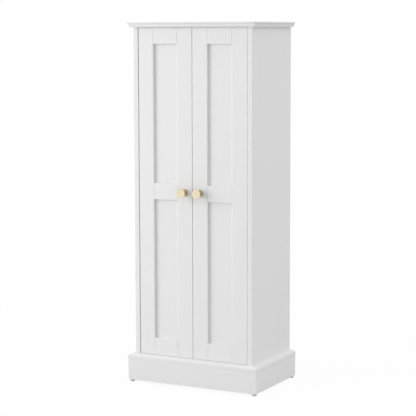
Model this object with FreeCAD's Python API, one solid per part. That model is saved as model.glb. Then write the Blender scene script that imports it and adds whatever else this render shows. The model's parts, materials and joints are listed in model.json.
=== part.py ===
import FreeCAD, Part
import math
import os

# Tall bathroom cabinet with two inset doors, millimetres.
# X runs across the front, Y from front to back, Z up.
# The origin is on the floor, in the middle of the whole object's width and depth.

# Overall sizes
overall_height = 1300.0
body_width = 470.0
body_depth = 317.0

# Boards of the carcass
side_thickness = 18.0
top_thickness = 18.0
floor_thickness = 18.0
fixed_shelf_thickness = 18.0
loose_shelf_thickness = 16.0
back_thickness = 5.0
back_inset = 8.0
back_groove = 6.0
back_groove_play = 0.5
back_joint_gap = 1.0
board_edge_ease = 1.0

# Moulded edge of the top board, from the top down
crown_overhang = 18.0
crown_ease = 0.8
crown_fillet = 4.5
crown_quirk = 1.5
crown_cove = 4.0
crown_shoulder_height = 6.0
crown_foot_step = 2.75
crown_round = 8.0

# Base moulding
glide_height = 8.0
base_height = 97.0
base_front_projection = 16.0
base_side_projection = 22.5
base_band_share = 0.07
base_band_height = 10.5
base_band_step = 1.5
base_shoulder = 1.5
base_slope_drop = 6.5
toe_rail_thickness = 16.0

# Doors
door_side_gap = 1.7
door_meeting_gap = 1.6
door_end_gap = 0.6
door_setback = 1.8
door_thickness = 20.0
stile_width = 59.5
rail_width = 58.0
bottom_rail_width = 61.5
middle_rail_height = 701.0
frame_edge_ease = 2.0
panel_recess = 9.5
panel_thickness = 6.0
panel_groove = 8.0
panel_play = 1.0
tenon_length = 20.0
tenon_shoulder = 12.0
mortise_end_room = 1.0
door_edge_ease = 1.0
seam_width = 1.3
seam_depth = 1.0

# Shelves and their pins
fixed_shelf_setback = 5.0
loose_shelf_setback = 15.0
loose_shelf_side_play = 1.0
loose_shelf_back_play = 2.0
shelf_edge_ease = 1.0
pin_radius = 2.5
pin_hole_depth = 10.0
pin_depth = 8.0
pin_collar_radius = 5.0
pin_collar_thickness = 1.5
pin_tongue_length = 8.0
pin_row_pitch = 32.0
pin_rows_each_way = 1
pin_front_inset = 37.0
pin_back_inset = 40.0

# Wall rail
wall_rail_thickness = 16.0
wall_rail_height = 60.0
wall_hole_radius = 2.5
wall_hole_spacing = 200.0

# Pivot hinges
pivot_side_inset = 10.0
pivot_front_inset = 5.0
pivot_pin_radius = 2.0
pivot_running_clearance = 0.05
pivot_pin_reach = 5.0
pivot_bore_clearance = 0.6
pivot_bore_end_room = 1.0
leaf_thickness = 2.0
leaf_width = 12.0
leaf_length = 54.0
leaf_side_margin = 1.0
leaf_front_margin = 1.5
leaf_corner_radius = 2.5
leaf_screw_first = 18.0
leaf_screw_second = 36.0
leaf_screw_radius = 1.75
leaf_screw_head_radius = 3.4
leaf_screw_length = 14.0
washer_radius = 4.5
washer_bore_clearance = 0.15
washer_play = 0.2

# Magnetic catches
catch_width = 44.0
catch_height = 14.0
catch_depth = 16.0
catch_centre_gap = 10.0
catch_play = 0.4
magnet_width = 32.0
magnet_height = 8.0
magnet_depth = 11.0
strike_width = 38.0
strike_height = 12.0
strike_thickness = 1.5
strike_corner_radius = 2.0

# Knob, turned about its own axis
knob_radius = 16.5
knob_projection = 33.0
knob_rim_thickness = 6.5
knob_rim_ease = 2.2
knob_rim_back = 3.0
knob_neck_radius = 7.0
knob_base_radius = 12.5
knob_base_thickness = 3.2
knob_base_flare = 7.0
knob_screw_radius = 2.0
knob_screw_reach = 14.0
knob_screw_hole_clearance = 0.5
knob_screw_head_radius = 4.5
knob_screw_head_height = 2.2

# Glides
glide_radius = 9.0
glide_inset = 10.5
glide_pad_thickness = 3.0
glide_rest_radius = 5.5
glide_nail_radius = 1.2
glide_nail_length = 16.0

# Knock-down fittings
fitting_edge_inset = 55.0
fitting_spacing = 32.0
cam_radius = 7.5
cam_height = 12.5
cam_distance = 34.0
cam_clearance = 0.2
bolt_radius = 3.0
bolt_clearance = 0.5
bolt_hold = 10.0
dowel_radius = 4.0
dowel_length = 30.0
dowel_hold = 10.0

overrun = 50.0

# Levels and planes worked out from the sizes above
half_body = body_width / 2
half_inside = half_body - side_thickness
back_plane = (body_depth + knob_projection - door_setback) / 2
front_plane = back_plane - body_depth
door_front = front_plane + door_setback
door_back = door_front + door_thickness
back_panel_back = back_plane - back_inset
back_panel_front = back_panel_back - back_thickness
floor_top = glide_height + base_height
floor_bottom = floor_top - floor_thickness
top_under = overall_height - top_thickness
door_bottom = floor_top + door_end_gap
door_top = top_under - door_end_gap
door_outer = half_inside - door_side_gap
door_inner = door_meeting_gap / 2
middle_rail_bottom = middle_rail_height - rail_width / 2
middle_rail_top = middle_rail_height + rail_width / 2
fixed_shelf_bottom = middle_rail_height - fixed_shelf_thickness / 2
fixed_shelf_top = fixed_shelf_bottom + fixed_shelf_thickness
pivot_x = door_outer - pivot_side_inset
pivot_y = door_front + pivot_front_inset
leaf_front = door_front + leaf_front_margin
knob_x = door_inner + stile_width / 2
catch_x = door_inner + catch_centre_gap + catch_width / 2
catch_z = fixed_shelf_bottom - catch_height / 2

AXIS_X = FreeCAD.Vector(1, 0, 0)
AXIS_Y = FreeCAD.Vector(0, 1, 0)
AXIS_Z = FreeCAD.Vector(0, 0, 1)
ORIGIN = FreeCAD.Vector(0, 0, 0)


def point(x, y, z):
    """Return a point in the cabinet's frame."""
    return FreeCAD.Vector(x, y, z)


def block(x_low, x_high, y_low, y_high, z_low, z_high):
    """Return a box between two corners."""
    return Part.makeBox(x_high - x_low, y_high - y_low, z_high - z_low, point(x_low, y_low, z_low))


def mirrored(shape):
    """Return the same shape on the other side of the cabinet's middle."""
    return shape.mirror(ORIGIN, AXIS_X)


def joined(shapes):
    """Return separate solids as one group."""
    return Part.makeCompound(shapes)


def rounded_edges(corners, place):
    """Return the closed outline through corners, each given as (u, v, radius)."""
    flat = [FreeCAD.Vector(u, v, 0) for u, v, radius in corners]
    starts = []
    ends = []
    middles = []
    for index, (u, v, radius) in enumerate(corners):
        corner = flat[index]
        to_last = (flat[index - 1] - corner).normalize()
        to_next = (flat[(index + 1) % len(flat)] - corner).normalize()
        half_angle = to_last.getAngle(to_next) / 2
        if radius > 0:
            setback = radius / math.tan(half_angle)
            inward = (to_last + to_next).normalize()
            centre = corner + inward * (radius / math.sin(half_angle))
            starts.append(corner + to_last * setback)
            ends.append(corner + to_next * setback)
            middles.append(centre - inward * radius)
        else:
            starts.append(corner)
            ends.append(corner)
            middles.append(None)
    edges = []
    for index in range(len(corners)):
        if middles[index] is not None:
            arc = Part.Arc(place(starts[index]), place(middles[index]), place(ends[index]))
            edges.append(arc.toShape())
        following = (index + 1) % len(corners)
        if (starts[following] - ends[index]).Length > Part.Precision.confusion():
            edges.append(Part.LineSegment(place(ends[index]), place(starts[following])).toShape())
    return Part.Wire(edges)


def prism_x(corners, x_low, x_high):
    """Extrude an outline of (y, z, radius) corners along X."""
    wire = rounded_edges(corners, lambda p: point(x_low, p.x, p.y))
    return Part.Face(wire).extrude(AXIS_X * (x_high - x_low))


def prism_y(corners, y_low, y_high):
    """Extrude an outline of (x, z, radius) corners along Y."""
    wire = rounded_edges(corners, lambda p: point(p.x, y_low, p.y))
    return Part.Face(wire).extrude(AXIS_Y * (y_high - y_low))


def prism_z(corners, z_low, z_high):
    """Extrude an outline of (x, y, radius) corners along Z."""
    wire = rounded_edges(corners, lambda p: point(p.x, p.y, z_low))
    return Part.Face(wire).extrude(AXIS_Z * (z_high - z_low))


def slab_z(x_low, x_high, y_low, y_high, z_low, z_high, radius):
    """Return a plate lying flat with rounded corners."""
    corners = [(x_low, y_low, radius), (x_high, y_low, radius),
               (x_high, y_high, radius), (x_low, y_high, radius)]
    return prism_z(corners, z_low, z_high)


def rod(radius, start, direction, length):
    """Return a round bar."""
    return Part.makeCylinder(radius, length, start, direction)


def turned(corners, base, direction):
    """Turn an outline of (radius, height, rounding) corners about an axis through base."""
    wire = rounded_edges(corners, lambda p: point(p.x, 0, p.y))
    solid = Part.Face(wire).revolve(ORIGIN, AXIS_Z, 360)
    solid.Placement = FreeCAD.Placement(base, FreeCAD.Rotation(AXIS_Z, direction))
    return solid


def countersunk_screw(face_point, direction):
    """Return a screw whose flat head lies in a face and whose shank runs along direction."""
    head = Part.makeCone(leaf_screw_head_radius, leaf_screw_radius, leaf_thickness, face_point, direction)
    return head.fuse(rod(leaf_screw_radius, face_point, direction, leaf_screw_length)).removeSplitter()


def save(name, shape):
    """Write one named piece."""
    if not shape.isValid():
        raise RuntimeError("the shape of " + name + " is not valid")
    shape.exportStep("parts/" + name + ".step")


# Top board: a front outline and a side outline, each drawn out and crossed, so the corners mitre

def crown_corners(face, outward):
    """Return the moulded edge as (u, z, radius) corners, from the top edge down to the underside."""
    lip = face + outward * crown_overhang
    quirk = face + outward * (crown_overhang - crown_quirk)
    neck = quirk - outward * crown_cove
    foot = neck - outward * crown_foot_step
    fillet_under = overall_height - crown_fillet
    return [(lip, overall_height, crown_ease), (lip, fillet_under, 0), (quirk, fillet_under, 0),
            (neck, fillet_under, crown_cove), (neck, top_under + crown_shoulder_height, crown_round),
            (foot, top_under, 0)]


def make_top_board():
    """Return the top board with its moulded front and sides."""
    front = crown_corners(front_plane, -1)
    along_x = prism_x([(back_plane, top_under, 0), (back_plane, overall_height, 0)] + front,
                      -half_body - overrun, half_body + overrun)
    right = crown_corners(half_body, 1)
    left = [(-u, z, radius) for u, z, radius in reversed(right)]
    along_y = prism_y(left + right, front_plane - overrun, back_plane)
    return along_x.common(along_y)


# Base moulding: the front's section stretched for the sides, so the mitres at both front corners are plane

def base_corners(face, outward, projection):
    """Return the moulding's section as (u, z, radius) corners, from the lower edge up to the body."""
    plain = face + outward * projection
    band = plain + outward * projection * base_band_share
    outer_top = floor_top - base_slope_drop
    band_top = outer_top - base_shoulder
    band_bottom = band_top - base_band_height
    return [(plain, glide_height, 0), (plain, band_bottom - base_band_step, 0), (band, band_bottom, 0),
            (band, band_top, 0), (plain, outer_top, 0), (face, floor_top, 0)]


def make_base_run():
    """Return the moulding round the front and both sides as one ring."""
    front = base_corners(front_plane, -1, base_front_projection)
    along_x = prism_x([(back_plane, floor_top, 0), (back_plane, glide_height, 0)] + front,
                      -half_body - overrun, half_body + overrun)
    right = base_corners(half_body, 1, base_side_projection)
    left = [(-u, z, radius) for u, z, radius in reversed(right)]
    along_y = prism_y(left + right, front_plane - overrun, back_plane)
    body = block(-half_body, half_body, front_plane, back_plane, glide_height, floor_top)
    return along_x.common(along_y).cut(body)


def split_base(run):
    """Return the front and the left length of the moulding, parted at the mitre."""
    reach_x = half_body + base_side_projection * overrun / base_front_projection
    reach_y = front_plane - overrun
    front_zone = prism_z([(-half_body, front_plane, 0), (half_body, front_plane, 0), (reach_x, reach_y, 0),
                          (-reach_x, reach_y, 0)], 0, floor_top)
    left_zone = prism_z([(-half_body, front_plane, 0), (-half_body, back_plane, 0),
                         (-reach_x, back_plane, 0), (-reach_x, reach_y, 0)], 0, floor_top)
    return run.common(front_zone), run.common(left_zone)


# Glides

glide_side_x = half_body + base_side_projection - glide_inset
glide_front_y = front_plane - base_front_projection + glide_inset
glide_back_y = back_plane - glide_inset


def glide_nail(x, y):
    """Return a glide's nail, which is also the hole it makes."""
    return rod(glide_nail_radius, point(x, y, glide_height), AXIS_Z, glide_nail_length)


def make_glide(x, y):
    """Return one domed glide with its nail."""
    dome = glide_height - glide_pad_thickness
    foot = turned([(0, 0, 0), (glide_rest_radius, 0, 0), (glide_radius, dome, dome / 2),
                   (glide_radius, glide_height, 0), (0, glide_height, 0)], point(x, y, 0), AXIS_Z)
    return foot.fuse(glide_nail(x, y)).removeSplitter()


# Knock-down joints between a board's end and the panel it meets

def knock_down(meeting, into_board, to_face, along, board_thickness):
    """Return the cam, bolt and dowel of one joint and the bores that they need.

    meeting is the middle of the board's end face, into_board points from the panel into the board,
    to_face points to the board's face that shows the cam, and along points from the cam to the dowel.
    """
    cam_start = meeting + into_board * cam_distance + to_face * (board_thickness / 2 - cam_height)
    bolt_start = meeting - into_board * bolt_hold
    bolt_length = bolt_hold + cam_distance - cam_radius - cam_clearance
    dowel_start = meeting + along * fitting_spacing - into_board * dowel_hold
    cam = rod(cam_radius, cam_start, to_face, cam_height)
    bolt = rod(bolt_radius, bolt_start, into_board, bolt_length)
    dowel = rod(dowel_radius, dowel_start, into_board, dowel_length)
    cam_bore = rod(cam_radius + cam_clearance, cam_start, to_face, cam_height + overrun)
    bolt_bore = rod(bolt_radius + bolt_clearance, meeting, into_board, cam_distance)
    board_cuts = [cam_bore, bolt_bore, dowel]
    panel_cuts = [bolt, dowel]
    return cam, bolt, dowel, board_cuts, panel_cuts


fitting_front_y = front_plane + fitting_edge_inset
fitting_back_y = back_plane - fitting_edge_inset


def side_joints():
    """Return every knock-down joint of the left side panel, by board."""
    joints = {"floor": [], "shelf": [], "top": []}
    floor_middle = floor_bottom + floor_thickness / 2
    shelf_middle = fixed_shelf_bottom + fixed_shelf_thickness / 2
    side_middle = -half_body + side_thickness / 2
    for y, along in ((fitting_front_y, AXIS_Y), (fitting_back_y, AXIS_Y * -1)):
        joints["floor"].append(knock_down(point(-half_inside, y, floor_middle), AXIS_X, AXIS_Z * -1, along,
                                          floor_thickness))
        joints["shelf"].append(knock_down(point(-half_inside, y, shelf_middle), AXIS_X, AXIS_Z * -1, along,
                                          fixed_shelf_thickness))
        joints["top"].append(knock_down(point(side_middle, y, top_under), AXIS_Z * -1, AXIS_X, along,
                                        side_thickness))
    return joints


# Loose shelves: the two openings above and the one below the fixed shelf are shared out evenly

upper_opening = top_under - fixed_shelf_top
lower_opening = fixed_shelf_bottom - floor_top
upper_shelf_shares = (1 / 3, 2 / 3)
lower_shelf_share = 1 / 2
loose_shelf_levels = {
    "shelf_lower": floor_top + lower_opening * lower_shelf_share - loose_shelf_thickness / 2,
    "shelf_upper_low": fixed_shelf_top + upper_opening * upper_shelf_shares[0] - loose_shelf_thickness / 2,
    "shelf_upper_high": fixed_shelf_top + upper_opening * upper_shelf_shares[1] - loose_shelf_thickness / 2,
}
loose_shelf_front = door_back + loose_shelf_setback
loose_shelf_back = back_panel_front - loose_shelf_back_play
pin_ys = (loose_shelf_front + pin_front_inset, loose_shelf_back - pin_back_inset)


def make_loose_shelf(bottom):
    """Return one loose shelf with an eased front edge."""
    reach = half_inside - loose_shelf_side_play
    top = bottom + loose_shelf_thickness
    return prism_x([(loose_shelf_front, bottom, shelf_edge_ease), (loose_shelf_front, top, shelf_edge_ease),
                    (loose_shelf_back, top, 0), (loose_shelf_back, bottom, 0)], -reach, reach)


def make_shelf_pin(y, shelf_bottom):
    """Return one pin in the left panel: a peg, a collar and the half-round tongue under the shelf."""
    centre_z = shelf_bottom - pin_radius
    centre = point(-half_inside, y, centre_z)
    peg = rod(pin_radius, centre - AXIS_X * pin_depth, AXIS_X, pin_depth)
    tongue = rod(pin_radius, centre, AXIS_X, pin_tongue_length)
    collar = rod(pin_collar_radius, centre, AXIS_X, pin_collar_thickness)
    above = block(-half_body, 0, y - pin_collar_radius, y + pin_collar_radius,
                  shelf_bottom, shelf_bottom + pin_collar_radius)
    return peg.fuse([tongue, collar]).cut(above).removeSplitter()


def shelf_pin_holes():
    """Return the left panel's rows of pin holes."""
    holes = []
    for bottom in loose_shelf_levels.values():
        for step in range(-pin_rows_each_way, pin_rows_each_way + 1):
            for y in pin_ys:
                start = point(-half_inside - pin_hole_depth, y, bottom - pin_radius + step * pin_row_pitch)
                holes.append(rod(pin_radius, start, AXIS_X, pin_hole_depth))
    return holes


# Pivot hinges of the left door; the right ones are their mirror images

def frame_leaf_outline(z_low, z_high):
    """Return the leaf that is let into the top board or the floor board."""
    start = -half_inside + leaf_side_margin
    return slab_z(start, start + leaf_length, leaf_front, leaf_front + leaf_width, z_low, z_high,
                  leaf_corner_radius)


def door_leaf_outline(z_low, z_high):
    """Return the leaf that is let into the door's edge."""
    start = -door_outer + leaf_side_margin
    return slab_z(start, start + leaf_length, leaf_front, leaf_front + leaf_width, z_low, z_high,
                  leaf_corner_radius)


def leaf_screws(face_z, direction):
    """Return the two screws of a leaf whose open face is at face_z."""
    y = leaf_front + leaf_width / 2
    return [countersunk_screw(point(-pivot_x + offset, y, face_z), direction)
            for offset in (leaf_screw_first, leaf_screw_second)]


pin_length = door_end_gap + leaf_thickness + pivot_pin_reach


def pivot_set(frame_face, inward):
    """Return the pieces and cuts of one pivot; inward points from the frame's face into the board."""
    away = inward * -1
    sign = 1 if inward.z > 0 else -1
    frame_low = min(frame_face, frame_face + sign * leaf_thickness)
    frame_leaf = frame_leaf_outline(frame_low, frame_low + leaf_thickness)
    door_face = frame_face - sign * door_end_gap
    door_low = min(door_face, door_face - sign * leaf_thickness)
    door_leaf = door_leaf_outline(door_low, door_low + leaf_thickness)
    centre = point(-pivot_x, pivot_y, frame_face)
    pin = rod(pivot_pin_radius, centre, away, pin_length)
    frame_screws = leaf_screws(frame_face, inward)
    door_screws = leaf_screws(door_face, away)
    running_hole = rod(pivot_pin_radius + pivot_running_clearance, centre, away, pin_length)
    pin_bore = rod(pivot_pin_radius + pivot_bore_clearance, centre, away, pin_length + pivot_bore_end_room)
    return {
        "frame_leaf": frame_leaf.cut(joined(frame_screws)).fuse(pin).removeSplitter(),
        "door_leaf": door_leaf.cut(joined(door_screws + [running_hole])),
        "frame_screws": frame_screws,
        "door_screws": door_screws,
        "frame_cuts": [frame_leaf] + frame_screws,
        "door_cuts": [door_leaf, pin_bore] + door_screws,
    }


def make_washer():
    """Return the washer that carries the left door on its lower pin."""
    centre = point(-pivot_x, pivot_y, floor_top)
    thickness = door_end_gap - washer_play
    ring = rod(washer_radius, centre, AXIS_Z, thickness)
    return ring.cut(rod(pivot_pin_radius + washer_bore_clearance, centre, AXIS_Z, thickness))


# Left door

panel_front = door_front + panel_recess
panel_back = panel_front + panel_thickness
hinge_stile_inner = -door_outer + stile_width
meeting_stile_inner = -door_inner - stile_width
top_rail_bottom = door_top - rail_width
bottom_rail_top = door_bottom + bottom_rail_width
door_openings = {"panel_lower": (bottom_rail_top, middle_rail_bottom),
                 "panel_upper": (middle_rail_top, top_rail_bottom)}
rail_spans = {"rail_top": (top_rail_bottom, door_top), "rail_middle": (middle_rail_bottom, middle_rail_top),
              "rail_bottom": (door_bottom, bottom_rail_top)}
tenon_spans = ((top_rail_bottom + panel_groove, door_top - tenon_shoulder),
               (middle_rail_bottom + panel_groove, middle_rail_top - panel_groove),
               (door_bottom + tenon_shoulder, bottom_rail_top - panel_groove))


def door_envelope():
    """Return the left door's block with its front edges eased."""
    outline = prism_z([(-door_outer, door_front, door_edge_ease), (-door_inner, door_front, door_edge_ease),
                       (-door_inner, door_back, 0), (-door_outer, door_back, 0)], door_bottom, door_top)
    tall = prism_x([(door_front, door_bottom, door_edge_ease), (door_front, door_top, door_edge_ease),
                    (door_back, door_top, 0), (door_back, door_bottom, 0)], -door_outer, -door_inner)
    return outline.common(tall)


def framed_door():
    """Return the left door's frame in one: the envelope with both openings, their front edges eased."""
    openings = [block(hinge_stile_inner, meeting_stile_inner, door_front - overrun, door_back + overrun,
                      z_low, z_high)
                for z_low, z_high in door_openings.values()]
    frame = door_envelope().cut(joined(openings))
    rims = [edge for edge in frame.Edges
            if edge.BoundBox.YMax < door_front + Part.Precision.confusion()
            and edge.BoundBox.XMin > -door_outer + stile_width / 2
            and edge.BoundBox.XMax < -door_inner - stile_width / 2]
    return frame.makeFillet(frame_edge_ease, rims)


def panel_slab(z_low, z_high, reach):
    """Return a slab at the panels' depth that goes past an opening by reach on every side."""
    return block(hinge_stile_inner - reach, meeting_stile_inner + reach, panel_front, panel_back,
                 z_low - reach, z_high + reach)


def tenon_bar(z_low, z_high, length):
    """Return a bar at the panels' depth that goes past a rail's shoulders by length at both ends."""
    return block(hinge_stile_inner - length, meeting_stile_inner + length, panel_front, panel_back,
                 z_low, z_high)


def seam_cut(x, z_low, z_high):
    """Return the fine V groove along a joint between a stile and a rail."""
    return prism_z([(x - seam_width / 2, door_front, 0), (x + seam_width / 2, door_front, 0),
                    (x, door_front + seam_depth, 0)], z_low, z_high)


def make_door(pivots):
    """Return the left door's frame and panels by name."""
    seats = [panel_slab(z_low, z_high, panel_groove) for z_low, z_high in door_openings.values()]
    seams = [seam_cut(x, z_low, z_high) for x in (hinge_stile_inner, meeting_stile_inner)
             for z_low, z_high in rail_spans.values()]
    frame = framed_door().cut(joined(seams)).cut(joined(seats))
    screw_start = point(-knob_x, door_front, middle_rail_height)
    screw_hole = rod(knob_screw_radius + knob_screw_hole_clearance, screw_start, AXIS_Y, door_thickness)
    pivot_cuts = [cut for pivot in pivots for cut in pivot["door_cuts"]]
    tenons = joined([tenon_bar(z_low, z_high, tenon_length) for z_low, z_high in tenon_spans])
    mortise_length = tenon_length + mortise_end_room
    mortises = joined([tenon_bar(z_low, z_high, mortise_length) for z_low, z_high in tenon_spans])
    hinge_zone = block(-door_outer, hinge_stile_inner, door_front, door_back, door_bottom, door_top)
    meeting_zone = block(meeting_stile_inner, -door_inner, door_front, door_back, door_bottom, door_top)
    pieces = {
        "stile_hinge": frame.common(hinge_zone).cut(mortises).cut(joined(pivot_cuts)),
        "stile_meeting": frame.common(meeting_zone).cut(mortises).cut(screw_hole),
    }
    for name, (z_low, z_high) in rail_spans.items():
        zone = block(hinge_stile_inner, meeting_stile_inner, door_front, door_back, z_low, z_high)
        reach = block(-door_outer, -door_inner, door_front, door_back, z_low, z_high)
        pieces[name] = frame.common(zone).fuse(tenons.common(reach)).removeSplitter()
    for name, (z_low, z_high) in door_openings.items():
        pieces[name] = panel_slab(z_low, z_high, panel_groove - panel_play)
    return pieces


# Knob, its screw, the strike plate and the catch

def make_knob():
    """Return the left door's knob."""
    rim_back = knob_projection - knob_rim_thickness
    corners = [(0, 0, 0), (knob_base_radius, 0, 0),
               (knob_base_radius, knob_base_thickness, knob_base_thickness / 2),
               (knob_neck_radius, knob_base_thickness + knob_base_flare, knob_base_flare),
               (knob_neck_radius, rim_back - knob_rim_back, knob_rim_back),
               (knob_radius, rim_back, knob_rim_back / 2), (knob_radius, knob_projection, knob_rim_ease),
               (0, knob_projection, 0)]
    base = point(-knob_x, door_front, middle_rail_height)
    solid = turned(corners, base, AXIS_Y * -1)
    return solid.cut(rod(knob_screw_radius, base, AXIS_Y * -1, knob_screw_reach))


def make_knob_screw():
    """Return the screw that comes through the stile into the knob."""
    head_face = point(-knob_x, door_back, middle_rail_height)
    shank = rod(knob_screw_radius, head_face, AXIS_Y * -1, door_thickness + knob_screw_reach)
    head = turned([(0, 0, 0), (knob_screw_head_radius, 0, 0),
                   (knob_screw_head_radius, knob_screw_head_height, knob_screw_head_height / 2),
                   (0, knob_screw_head_height, 0)], head_face, AXIS_Y)
    return head.fuse(shank).removeSplitter()


def make_strike():
    """Return the plate on the left door's back that the magnet holds."""
    return prism_y([(-catch_x - strike_width / 2, catch_z - strike_height / 2, strike_corner_radius),
                    (-catch_x + strike_width / 2, catch_z - strike_height / 2, strike_corner_radius),
                    (-catch_x + strike_width / 2, catch_z + strike_height / 2, strike_corner_radius),
                    (-catch_x - strike_width / 2, catch_z + strike_height / 2, strike_corner_radius)],
                   door_back, door_back + strike_thickness)


def make_catch():
    """Return the left catch's housing and its magnet."""
    face = door_back + strike_thickness + catch_play
    housing = block(-catch_x - catch_width / 2, -catch_x + catch_width / 2, face, face + catch_depth,
                    fixed_shelf_bottom - catch_height, fixed_shelf_bottom)
    magnet = block(-catch_x - magnet_width / 2, -catch_x + magnet_width / 2, face, face + magnet_depth,
                   catch_z - magnet_height / 2, catch_z + magnet_height / 2)
    return housing.cut(magnet), magnet


# Carcass boards

def make_side(joints):
    """Return the left side panel with its groove and bores."""
    panel = prism_z([(-half_body, front_plane, board_edge_ease), (-half_inside, front_plane, board_edge_ease),
                     (-half_inside, back_plane, 0), (-half_body, back_plane, 0)], glide_height, top_under)
    groove = block(-half_inside - back_groove, -half_inside, back_panel_front, back_panel_back,
                   floor_bottom, top_under)
    cuts = [groove] + shelf_pin_holes()
    for joint in joints["floor"] + joints["shelf"]:
        cuts += joint[4]
    for joint in joints["top"]:
        cuts += joint[3]
    return panel.cut(joined(cuts))


def make_fixed_shelf():
    """Return the fixed shelf with an eased front edge, before its bores."""
    front = door_back + fixed_shelf_setback
    return prism_x([(front, fixed_shelf_bottom, board_edge_ease), (front, fixed_shelf_top, board_edge_ease),
                    (back_panel_front, fixed_shelf_top, 0), (back_panel_front, fixed_shelf_bottom, 0)],
                   -half_inside, half_inside)


def make_back(z_low, z_high):
    """Return a back panel whose edges lie in the side panels' grooves."""
    reach = half_inside + back_groove - back_groove_play
    return block(-reach, reach, back_panel_front, back_panel_back, z_low, z_high)


def both_sides(solids):
    """Return solids of the left half together with their mirror images."""
    return list(solids) + [mirrored(solid) for solid in solids]


def build():
    """Make every piece and write it."""
    os.makedirs("parts", exist_ok=True)
    joints = side_joints()
    lower_pivot = pivot_set(floor_top, AXIS_Z * -1)
    upper_pivot = pivot_set(top_under, AXIS_Z)
    pivots = (lower_pivot, upper_pivot)
    glides = {"glide_front_left": (-glide_side_x, glide_front_y),
              "glide_back_left": (-glide_side_x, glide_back_y),
              "glide_front_right": (glide_side_x, glide_front_y),
              "glide_back_right": (glide_side_x, glide_back_y)}
    nails = joined([glide_nail(x, y) for x, y in glides.values()])

    side = make_side(joints)
    save("side_panel_left", side)
    save("side_panel_right", mirrored(side))

    top_cuts = both_sides(upper_pivot["frame_cuts"] + [cut for joint in joints["top"] for cut in joint[4]])
    save("top_board", make_top_board().cut(joined(top_cuts)))

    floor_board = block(-half_inside, half_inside, front_plane, back_panel_front, floor_bottom, floor_top)
    floor_bores = [cut for joint in joints["floor"] for cut in joint[3]]
    floor_cuts = both_sides(lower_pivot["frame_cuts"] + floor_bores)
    save("floor_board", floor_board.cut(joined(floor_cuts)))

    shelf_cuts = both_sides([cut for joint in joints["shelf"] for cut in joint[3]])
    save("fixed_shelf", make_fixed_shelf().cut(joined(shelf_cuts)))

    wall_hole_z = top_under - wall_rail_height / 2
    wall_hole_start = back_panel_front - wall_rail_thickness
    wall_holes = joined([rod(wall_hole_radius, point(x, wall_hole_start, wall_hole_z), AXIS_Y,
                             wall_rail_thickness + back_thickness)
                         for x in (-wall_hole_spacing / 2, wall_hole_spacing / 2)])
    wall_rail = block(-half_inside, half_inside, back_panel_front - wall_rail_thickness, back_panel_front,
                      top_under - wall_rail_height, top_under)
    save("wall_rail", wall_rail.cut(wall_holes))
    save("back_panel_upper", make_back(middle_rail_height + back_joint_gap / 2, top_under).cut(wall_holes))
    save("back_panel_lower", make_back(floor_bottom, middle_rail_height - back_joint_gap / 2))

    save("toe_rail_front", block(-half_inside, half_inside, front_plane, front_plane + toe_rail_thickness,
                                 glide_height, floor_bottom))
    save("toe_rail_back", block(-half_inside, half_inside, back_panel_front - toe_rail_thickness,
                                back_panel_front, glide_height, floor_bottom))

    base_front, base_left = split_base(make_base_run().cut(nails))
    save("base_moulding_front", base_front)
    save("base_moulding_left", base_left)
    save("base_moulding_right", mirrored(base_left))
    for name, (x, y) in glides.items():
        save(name, make_glide(x, y))

    for name, bottom in loose_shelf_levels.items():
        save(name, make_loose_shelf(bottom))
    pins = [make_shelf_pin(y, bottom) for bottom in loose_shelf_levels.values() for y in pin_ys]
    save("shelf_pins", joined(both_sides(pins)))

    every_joint = joints["floor"] + joints["shelf"] + joints["top"]
    for position, name in enumerate(("cam_locks", "cam_bolts", "dowels")):
        save(name, joined(both_sides([joint[position] for joint in every_joint])))

    save("frame_leaf_screws", joined(both_sides(lower_pivot["frame_screws"] + upper_pivot["frame_screws"])))
    save("pivot_washers", joined(both_sides([make_washer()])))
    housing, magnet = make_catch()
    save("catch_magnets", joined(both_sides([magnet])))

    left_pieces = make_door(pivots)
    left_pieces["knob"] = make_knob()
    left_pieces["knob_screw"] = make_knob_screw()
    left_pieces["strike_plate"] = make_strike()
    left_pieces["catch_housing"] = housing
    left_pieces["frame_leaf_top"] = upper_pivot["frame_leaf"]
    left_pieces["frame_leaf_bottom"] = lower_pivot["frame_leaf"]
    left_pieces["door_leaf_top"] = upper_pivot["door_leaf"]
    left_pieces["door_leaf_bottom"] = lower_pivot["door_leaf"]
    left_pieces["door_leaf_screws"] = joined(lower_pivot["door_screws"] + upper_pivot["door_screws"])
    for name, shape in left_pieces.items():
        save("left_" + name, shape)
        save("right_" + name, mirrored(shape))


build()
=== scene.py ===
"""Looks of the tall bathroom cabinet: finishes, turned and formed pieces, studio and camera.

Every length is in metres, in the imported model's frame: X across the front, Y from front to back, Z up.
"""

from __future__ import annotations

import json
import logging
import math
from dataclasses import dataclass
from enum import Enum
from typing import Any, Callable, Sequence

import bpy
from mathutils import Matrix, Vector

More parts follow.
